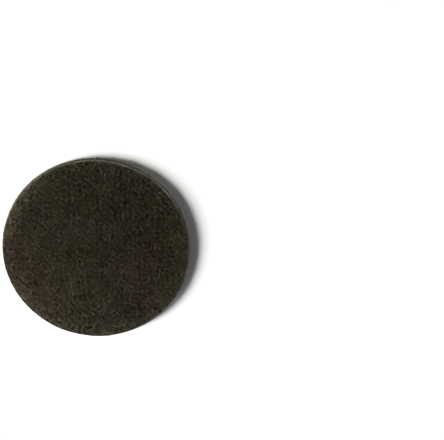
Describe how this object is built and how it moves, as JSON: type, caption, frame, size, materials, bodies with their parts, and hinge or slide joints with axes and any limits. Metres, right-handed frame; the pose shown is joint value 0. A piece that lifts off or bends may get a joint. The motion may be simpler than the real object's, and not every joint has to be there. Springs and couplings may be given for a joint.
{
  "type": "sanding disc",
  "caption": "Round surface-conditioning sanding disc with no centre hole: a thick non-woven abrasive fibre web on a thin woven backing cloth.",
  "frame": {"origin": "centre of the backing cloth's outer face, the face that grips the driving pad", "axes": "+Z is the spin axis, from the backing face out of the sanding face"},
  "size_m": [0.127, 0.127, 0.0054],
  "materials": {
    "scrim_backing": "resin-coated plain weave, warm grey, with dark patches where the web's resin came through",
    "abrasive_web": "matt crimped fibres with dark grey-brown abrasive resin"
  },
  "bodies": {
    "root": {"scrim_backing": "scrim_backing", "abrasive_web": "abrasive_web"}
  },
  "joints": []
}
